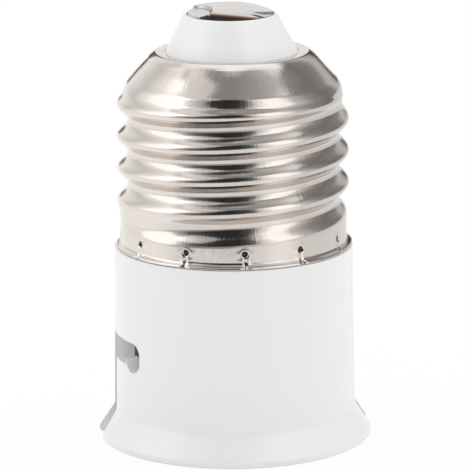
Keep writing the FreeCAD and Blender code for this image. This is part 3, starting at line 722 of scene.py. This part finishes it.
def make_housing():
    """The moulding as one mesh: the slotted strip, and plain rings above it."""
    strip = Strip(housing_profile())
    columns = 288
    half_columns = columns // 2
    azimuths = np.arange(columns) * (TURN / columns)
    window = tuple(int(azimuth * columns / TURN) for azimuth in SLOT_WINDOW)
    rows = len(strip.lengths)
    radii, heights = strip.at(strip.lengths)
    points = list(ring_points(radii, heights, azimuths))
    faces = []
    for first_column in (0, half_columns):
        for row in range(rows - 1):
            for column in range(window[1] - half_columns, window[0]):
                here = row * columns + (column + first_column) % columns
                beside = row * columns + (column + 1 + first_column) % columns
                faces.append((beside, here, here + columns, beside + columns))
    patch_points, patch_faces = slot_patch(strip, window, azimuths)
    for half_turn in (0, 180):
        start = len(points)
        spin = Matrix.Rotation(math.radians(half_turn), 3, "Z")
        points += [np.array(spin @ Vector(point)) for point in patch_points]
        faces += [tuple(start + index for index in face) for face in patch_faces]
    upper = rounded([
        (SOCKET_RADIUS, SOCKET_DEPTH - 0.3), (SOCKET_RADIUS, SOCKET_DEPTH), (11.2, SOCKET_DEPTH),
        (11.2, CARRIER_SEAT), (9.6, CARRIER_SEAT), (9.6, 38.2), (7.0, 41.5), (1.69, 41.5),
        (1.69, CONTACT_FLOOR), (4.91, CONTACT_FLOOR), (4.91, CONE_TOP), (CONE_TOP_RADIUS, CONE_TOP),
        (CONE_BASE_RADIUS + 0.11, RING_HEIGHT - 0.16), (CONE_BASE_RADIUS, 43.7), (8.5, 43.7), (11.45, 39.8),
        (11.45, 25.7), (12.42, 25.1), (12.42, SHOULDER_HEIGHT), (BODY_TOP_RADIUS, SHOULDER_HEIGHT),
        (BODY_RADIUS, BODY_MIDDLE)],
        [0.05, 0.05, 0.2, 0.1, 0.8, 0.6, 0.1, 0.1, 0.1, 0.05, 0.12, 0.3, 0.05, 0.05, 0.3, 0.3, 0.1, 0.1, 0.1,
         0.55], 5)
    upper = resample(upper, 1.6)
    first = len(points)
    inner_rows = upper[1:-1]
    ring_rows = ring_points(inner_rows[:, 0], inner_rows[:, 1], azimuths)
    ring_rows[:, 0] += CONE_SHIFT * smooth_step((ring_rows[:, 2] - RING_HEIGHT) / 1.0)
    points += list(ring_rows)
    top_rows = [(rows - 1) * columns] + [first + index * columns for index in range(len(inner_rows))] + [0]
    for low, high in zip(top_rows, top_rows[1:]):
        for column in range(columns):
            beside = (column + 1) % columns
            faces.append((low + beside, low + column, high + column, high + beside))
    housing = mesh_piece("white_housing", points, faces, "housing", white_plastic)
    tidy_mesh(housing.data)
    housing.data.set_sharp_from_angle(angle=math.radians(60))
    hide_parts("housing")


def tidy_mesh(mesh):
    """Welds the seams, drops unused points and turns all faces outwards."""
    work = bmesh.new()
    work.from_mesh(mesh)
    bmesh.ops.remove_doubles(work, verts=work.verts, dist=0.000004)
    loose = [vertex for vertex in work.verts if not vertex.link_faces]
    bmesh.ops.delete(work, geom=loose, context="VERTS")
    bmesh.ops.recalc_face_normals(work, faces=work.faces)
    work.to_mesh(mesh)
    work.free()
    mesh.polygons.foreach_set("use_smooth", [True] * len(mesh.polygons))


def offset_line(line, distance):
    """Moves an open line of (azimuth, length) points to its left by a distance in millimetres."""
    flat = line.copy()
    flat[:, 0] = np.radians(line[:, 0]) * BODY_RADIUS
    steps = np.gradient(flat, axis=0)
    before = np.diff(flat, axis=0, prepend=flat[:1] - (flat[1:2] - flat[:1]))
    after = np.diff(flat, axis=0, append=flat[-1:] + (flat[-1:] - flat[-2:-1]))
    before /= np.linalg.norm(before, axis=1)[:, None]
    after /= np.linalg.norm(after, axis=1)[:, None]
    normal = np.stack([-(before + after)[:, 1], (before + after)[:, 0]], axis=1)
    normal /= np.linalg.norm(normal, axis=1)[:, None]
    moved = flat + normal * distance
    moved[:, 0] = np.degrees(moved[:, 0] / BODY_RADIUS)
    return moved


def slot_patch(strip, window, azimuths):
    """One slot with rounded edges, and the wall round it, between two columns of the grid."""
    outline = slot_outline()
    size = len(outline)
    low = strip.lengths[strip.first_low]
    high = strip.lengths[strip.last_low]
    under_rim = np.linspace(low, high, UNDER_RIM_POINTS + 2)[1:-1]
    outer = np.stack([outline[:, 0], strip.outside(outline[:, 1])], axis=1)
    bore = np.stack([outline[:, 0], strip.bore(outline[:, 1])], axis=1)
    far = np.stack([np.full(UNDER_RIM_POINTS, outline[0, 0]), under_rim], axis=1)
    near = np.stack([np.full(UNDER_RIM_POINTS, outline[-1, 0]), under_rim], axis=1)
    # One closed loop: round the slot outside, under the rim, back round it in the bore, and under the rim
    loop = np.concatenate([outer, near, bore[::-1], far[::-1]])
    closed = np.concatenate([loop[-2:], loop, loop[:2]])
    count = len(loop)
    points = []
    faces = []
    rings = []
    for step in range(FILLET_STEPS + 1):
        turn = math.radians(90) * step / FILLET_STEPS
        ring = offset_line(closed, SLOT_FILLET * (1 - math.sin(turn)))[2:-2]
        points += strip.points_at(np.radians(ring[:, 0]), ring[:, 1], SLOT_FILLET * (1 - math.cos(turn)))
        rings.append(ring)
    for step in range(FILLET_STEPS):
        for index in range(count):
            following = (index + 1) % count
            faces.append((step * count + index, step * count + following,
                          (step + 1) * count + following, (step + 1) * count + index))
    # The walls: each point outside joins its fellow in the bore
    last = FILLET_STEPS * count
    outer_ids = [last + index for index in range(size)]
    bore_ids = [last + 2 * size + UNDER_RIM_POINTS - 1 - index for index in range(size)]
    across_ids = [outer_ids]
    for step in range(1, UNDER_RIM_POINTS + 1):
        ids = [last + 2 * size + 2 * UNDER_RIM_POINTS - step]
        for index in range(1, size - 1):
            start = points[outer_ids[index]]
            end = points[bore_ids[index]]
            ids.append(len(points))
            points.append(start + (end - start) * (step / (UNDER_RIM_POINTS + 1)))
        ids.append(last + size + step - 1)
        across_ids.append(ids)
    across_ids.append(bore_ids)
    for first, second in zip(across_ids, across_ids[1:]):
        for index in range(size - 1):
            faces.append((first[index], first[index + 1], second[index + 1], second[index]))
    hole = np.array([(math.radians(azimuth) * BODY_RADIUS, length) for azimuth, length in rings[0]])
    flat_points, flat_faces = wall_round_slot(strip, window, azimuths, hole)
    base = len(points)
    points += strip.points_at(flat_points[:, 0] / BODY_RADIUS, flat_points[:, 1])
    faces += [tuple(base + index for index in face) for face in flat_faces]
    return points, faces


def wall_round_slot(strip, window, azimuths, hole):
    """The flat wall round a slot, triangulated with the slot's edge and the grid's border as fixed lines."""
    left, right = window
    rows = len(strip.lengths)
    edge_distance = 0.2
    places = []
    index_of = {}
    for column in range(left, right + 1):
        for row in range(rows):
            place = np.array([math.radians(azimuths[column]) * BODY_RADIUS, strip.lengths[row]])
            on_border = column in window or row in (0, rows - 1)
            if on_border or (not inside(place, hole) and distance_to(place, hole) > edge_distance):
                index_of[column, row] = len(places)
                places.append(Vector(place))
    border = []
    for column in window:
        border += [(index_of[column, row], index_of[column, row + 1]) for row in range(rows - 1)]
    for row in (0, rows - 1):
        border += [(index_of[column, row], index_of[column + 1, row]) for column in range(left, right)]
    first_hole = len(places)
    count = len(hole)
    border += [(first_hole + index, first_hole + (index + 1) % count) for index in range(count)]
    places += [Vector(place) for place in hole]
    made = delaunay_2d_cdt(places, border, [], 0, 1e-6)
    flat_points = np.array([tuple(point) for point in made[0]])
    return flat_points, [face for face in made[2] if not inside(flat_points[list(face)].mean(axis=0), hole)]


def inside(place, polygon):
    x, y = place
    following = np.roll(polygon, -1, axis=0)
    crosses = (polygon[:, 1] > y) != (following[:, 1] > y)
    run, climb = (following - polygon).T
    slope = run / np.where(climb == 0, 1, climb)
    return bool(np.sum(crosses & (x < polygon[:, 0] + slope * (y - polygon[:, 1]))) % 2)


def distance_to(place, polygon):
    following = np.roll(polygon, -1, axis=0)
    run = following - polygon
    share = np.clip(((place - polygon) * run).sum(axis=1) / np.maximum((run * run).sum(axis=1), 1e-12), 0, 1)
    return float(np.linalg.norm(polygon + run * share[:, None] - place, axis=1).min())


# Inside


def azimuth_place(out, azimuth):
    return out * math.cos(math.radians(azimuth)), out * math.sin(math.radians(azimuth))


def turned_piece(name, outline, radii, place, body, material):
    """A turned piece about an upright line, from an outline that starts and ends on it."""
    columns = 48
    line = resample(rounded(outline, radii), 0.6)
    turns = np.arange(columns) * (TURN / columns)
    inner = line[1:-1]
    points = ring_points(inner[:, 0], inner[:, 1], turns)
    faces = grid_faces(len(inner), columns)
    first = len(points)
    points = np.concatenate([points, [[0, 0, line[0, 1]], [0, 0, line[-1, 1]]]])
    last_row = first - columns
    for column in range(columns):
        beside = (column + 1) % columns
        faces.append((beside, column, first))
        faces.append((last_row + column, last_row + beside, first + 1))
    points[:, 0] += place[0]
    points[:, 1] += place[1]
    return mesh_piece(name, points, faces, body, material, sharp=50)


def make_plunger(side, azimuth):
    plunger = turned_piece(
        f"turned_plunger_{side}",
        [(0, 14.2), (1.15, 14.2), (1.9, 14.75), (1.9, PLUNGER_SHOULDER), (2.45, PLUNGER_SHOULDER),
         (2.45, COLLAR_TOP), (1.1, COLLAR_TOP), (1.1, 24.55), (0, 24.55)],
        [0.8, 0.5, 0.03, 0.08, 0.08, 0.05, 0.15],
        azimuth_place(PLUNGER_OFFSET, azimuth), f"plunger_{side}", brass)
    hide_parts(f"plunger_{side}")


def make_spring(side, azimuth):
    """Round-wire compression spring with a closed coil at each end."""
    wire = 0.19
    coil_radius = 1.75
    coils = 6.0
    closed = 0.9
    end_rise = 0.4
    gap = 0.02
    sections = int(coils * 28)
    sides = 10
    low = COLLAR_TOP + gap + wire
    high = TOWER_TOP - gap - wire
    turned = np.linspace(0, 1, sections + 1) * coils
    free = np.clip((turned - closed) / (coils - 2 * closed), 0, 1)
    ends = np.clip(turned / closed, 0, 1) + np.clip((turned - coils + closed) / closed, 0, 1)
    heights = low + end_rise * ends + free * (high - low - 2 * end_rise)
    angles = turned * 2 * math.pi + math.radians(azimuth)
    centre = azimuth_place(PLUNGER_OFFSET, azimuth)
    points = []
    for angle, height in zip(angles, heights):
        for part in range(sides):
            around = 2 * math.pi * part / sides
            out = coil_radius + wire * math.cos(around)
            points.append((centre[0] + out * math.cos(angle), centre[1] + out * math.sin(angle),
                           height + wire * math.sin(around)))
    faces = grid_faces(sections + 1, sides)
    faces.append(tuple(range(sides))[::-1])
    faces.append(tuple(sections * sides + part for part in range(sides)))
    faces = [face[::-1] for face in faces]
    spring = mesh_piece(f"wound_spring_{side}", points, faces, "housing", spring_steel,
                        sharp=50)
    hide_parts(f"plunger_spring_{side}")
    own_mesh(spring)


def dress_cad_nodes():
    """Materials for the CAD solids that stay in view."""
    looks = {
        "contact_carrier": carrier_plastic, "carrier_screw_a": screw_steel, "carrier_screw_b": screw_steel,
        "terminal_a": brass, "terminal_b": brass, "live_wire_core": copper, "neutral_wire_core": copper,
        "live_wire_sleeve": live_insulation, "neutral_wire_sleeve": neutral_insulation,
        "live_tag_solder": solder_metal, "neutral_tag_solder": solder_metal,
        "contact_solder": solder_metal, "shell_solder": solder_metal}
    for node, material in looks.items():
        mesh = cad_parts[node].data
        mesh.materials.clear()
        mesh.materials.append(material)


# Studio


def studio_direction(tree, direction):
    """A direction's azimuth from the camera's side as a share of a turn, growing to the right, and its Z."""
    split = tree.nodes.new("ShaderNodeSeparateXYZ")
    tree.links.new(direction, split.inputs["Vector"])
    away = math_node(tree, "MULTIPLY", split.outputs["Y"], -1.0)
    angle = math_node(tree, "ARCTAN2", split.outputs["X"], away)
    return math_node(tree, "MULTIPLY_ADD", angle, 1 / math.tau, 0.5), split.outputs["Z"]


def level_by_azimuth(tree, share, stops):
    """Brightness round the studio, from (azimuth, level) stops."""
    node = tree.nodes.new("ShaderNodeValToRGB")
    ramp = node.color_ramp
    ramp.interpolation = "EASE"
    while len(ramp.elements) < len(stops):
        ramp.elements.new(0.5)
    for element, (azimuth, level) in zip(ramp.elements, stops):
        element.position = azimuth / TURN + 0.5
        element.color = (level / 2, level / 2, level / 2, 1)
    tree.links.new(share, node.inputs["Fac"])
    return math_node(tree, "MULTIPLY", node.outputs["Color"], 2.0)


def make_world():
    """White for the camera, a plain fill for matt surfaces, and the studio's panels for reflections."""
    world = bpy.data.worlds.new("studio")
    bpy.context.scene.world = world
    world.use_nodes = True
    tree = world.node_tree
    tree.nodes.clear()
    share, height = studio_direction(tree, tree.nodes.new("ShaderNodeTexCoord").outputs["Generated"])
    low = level_by_azimuth(tree, share, LOW_PANELS)
    high = level_by_azimuth(tree, share, HIGH_PANELS)
    high = mix_values(tree, ease(tree, height, *OVERHEAD), high, OVERHEAD_LEVEL)
    over = math_node(tree, "SUBTRACT", height, level_by_azimuth(tree, share, PANEL_TOPS))
    panels = mix_values(tree, ease(tree, over, -0.02, 0.03), low, high)
    path = tree.nodes.new("ShaderNodeLightPath")
    fill = level_by_azimuth(tree, share, FILL_LEVELS)
    level = mix_values(tree, path.outputs["Is Glossy Ray"], fill, panels)
    level = mix_values(tree, path.outputs["Is Camera Ray"], level, 1.0)
    level = mix_values(tree, path.outputs["Is Transmission Ray"], level, 1.0)
    background = tree.nodes.new("ShaderNodeBackground")
    background.inputs["Color"].default_value = (1, 1, 1, 1)
    tree.links.new(level, background.inputs["Strength"])
    out = tree.nodes.new("ShaderNodeOutputWorld")
    tree.links.new(background.outputs["Background"], out.inputs["Surface"])


def make_floor():
    """A pale floor that the camera sees almost white, and that keeps the object's shadow."""
    mesh = bpy.data.meshes.new("floor")
    reach = 3.0
    corners = [(-reach, -reach, 0), (reach, -reach, 0), (reach, reach, 0), (-reach, reach, 0)]
    mesh.from_pydata(corners, [], [(0, 1, 2, 3)])
    floor = bpy.data.objects.new("floor", mesh)
    bpy.context.scene.collection.objects.link(floor)
    floor.location = (0, 0, -0.00005)
    material = bpy.data.materials.new("pale_floor")
    material.use_nodes = True
    tree = material.node_tree
    tree.nodes.clear()
    out = tree.nodes.new("ShaderNodeOutputMaterial")
    diffuse = tree.nodes.new("ShaderNodeBsdfDiffuse")
    diffuse.inputs["Color"].default_value = (0.86, 0.86, 0.86, 1)
    glow = tree.nodes.new("ShaderNodeEmission")
    glow.inputs["Color"].default_value = (1, 1, 1, 1)
    place = tree.nodes.new("ShaderNodeTexCoord").outputs["Object"]
    share = studio_direction(tree, place)[0]
    length = tree.nodes.new("ShaderNodeVectorMath")
    length.operation = "LENGTH"
    tree.links.new(place, length.inputs[0])
    near = level_by_azimuth(tree, share, FLOOR_NEAR_LEVELS)
    far = level_by_azimuth(tree, share, FLOOR_FAR_LEVELS)
    mirrored = mix_values(tree, ease(tree, length.outputs["Value"], *FLOOR_EDGE), near, far)
    path = tree.nodes.new("ShaderNodeLightPath")
    seen = path.outputs["Is Camera Ray"]
    tree.links.new(mix_values(tree, seen, mirrored, 1.0), glow.inputs["Strength"])
    mix = tree.nodes.new("ShaderNodeMixShader")
    glow_share = math_node(tree, "MULTIPLY_ADD", seen, FLOOR_GLOW, path.outputs["Is Glossy Ray"])
    tree.links.new(glow_share, mix.inputs["Fac"])
    tree.links.new(diffuse.outputs["BSDF"], mix.inputs[1])
    tree.links.new(glow.outputs["Emission"], mix.inputs[2])
    tree.links.new(mix.outputs["Shader"], out.inputs["Surface"])
    mesh.materials.append(material)


# Studio levels, as (azimuth, level) stops. The dark flags stand half behind the object on both sides.
LOW_PANELS = [
    (-180, 0.95), (-174, 0.93), (-170.5, 0.12), (-161.5, 0.12), (-157, 1.1), (-145, 0.95), (-130, 0.78),
    (-112, 1.05), (-97, 1.5), (-68, 1.5), (-54, 0.5), (-42, 0.12), (-20, 0.03), (4, 0.03), (18, 0.1),
    (30, 0.9), (44, 1.45), (62, 1.4), (78, 0.62), (100, 0.3), (118, 0.22), (136, 0.28), (148, 0.62),
    (157, 0.5), (162, 0.08), (170, 0.08), (174, 0.93)]
HIGH_PANELS = [
    (-180, 1.35), (-135, 1.2), (-112, 1.15), (-95, 0.6), (-75, 0.45), (-45, 0.33), (0, 0.3), (45, 0.4),
    (75, 0.55), (95, 0.95), (115, 1.25), (150, 1.3)]
PANEL_TOPS = [(-180, 0.8), (-64, 0.79), (-44, 0.87), (0, 0.89), (22, 0.87), (40, 0.845), (80, 0.8)]
OVERHEAD = (0.97, 0.996)
OVERHEAD_LEVEL = 1.25
FILL_LEVELS = [
    (-180, 1.02), (-145, 1.28), (-115, 1.33), (-92, 0.96), (66, 0.94), (88, 1.45), (130, 1.7), (160, 1.08)]
FLOOR_NEAR_LEVELS = [
    (-180, 1.0), (-85, 1.15), (-40, 0.95), (15, 0.92), (48, 1.15), (80, 0.88), (150, 0.9)]
FLOOR_FAR_LEVELS = [
    (-180, 1.05), (-75, 1.05), (-54, 0.55), (-36, 0.32), (-4, 0.3), (14, 0.6), (44, 1.05), (74, 0.8),
    (140, 0.8)]
FLOOR_EDGE = (0.118, 0.126)
FLOOR_GLOW = 0.9

# Camera
CAMERA_PLACE = (0, -0.42, 0.12394)
CAMERA_DOWN = 13.526
CAMERA_ROLL = -0.0085843
CAMERA_SHIFT = 1.4 / 470
FOCAL_LENGTH = 292.94


def direction_vector(azimuth, elevation):
    """A direction from its azimuth from the camera's side (positive to the right) and its elevation."""
    turn = math.radians(azimuth - 90)
    flat = math.cos(math.radians(elevation))
    return Vector((flat * math.cos(turn), flat * math.sin(turn), math.sin(math.radians(elevation))))


def make_lights():
    """One soft light from the upper left, for a little modelling of the matt surfaces."""
    data = bpy.data.lights.new("upper_left_softbox", "AREA")
    data.shape = "RECTANGLE"
    data.size = 0.6
    data.size_y = 0.6
    data.energy = 0.5
    lamp = bpy.data.objects.new("upper_left_softbox", data)
    bpy.context.scene.collection.objects.link(lamp)
    target = Vector((0, 0, 0.03))
    lamp.location = target + direction_vector(-60, 50) * 0.9
    lamp.rotation_euler = (target - lamp.location).to_track_quat("-Z", "Y").to_euler()
    lamp.visible_camera = False


def make_camera():
    data = bpy.data.cameras.new("camera")
    camera = bpy.data.objects.new("camera", data)
    bpy.context.scene.collection.objects.link(camera)
    data.sensor_width = 36.0
    data.lens = FOCAL_LENGTH
    data.shift_x = CAMERA_SHIFT
    data.clip_start = 0.01
    data.clip_end = 20
    tilt = Matrix.Rotation(math.radians(90 - CAMERA_DOWN), 4, "X")
    roll = Matrix.Rotation(CAMERA_ROLL, 4, "Z")
    camera.matrix_world = Matrix.Translation(CAMERA_PLACE) @ tilt @ roll
    bpy.context.scene.camera = camera


make_screw_shell()
make_centre_contact()
make_housing()
for plunger_side, plunger_azimuth in (("a", CONTACT_AZIMUTH), ("b", CONTACT_AZIMUTH + 180)):
    make_plunger(plunger_side, plunger_azimuth)
    make_spring(plunger_side, plunger_azimuth)
dress_cad_nodes()
make_world()
make_floor()
make_lights()
make_camera()
bpy.context.scene.view_settings.view_transform = "Standard"
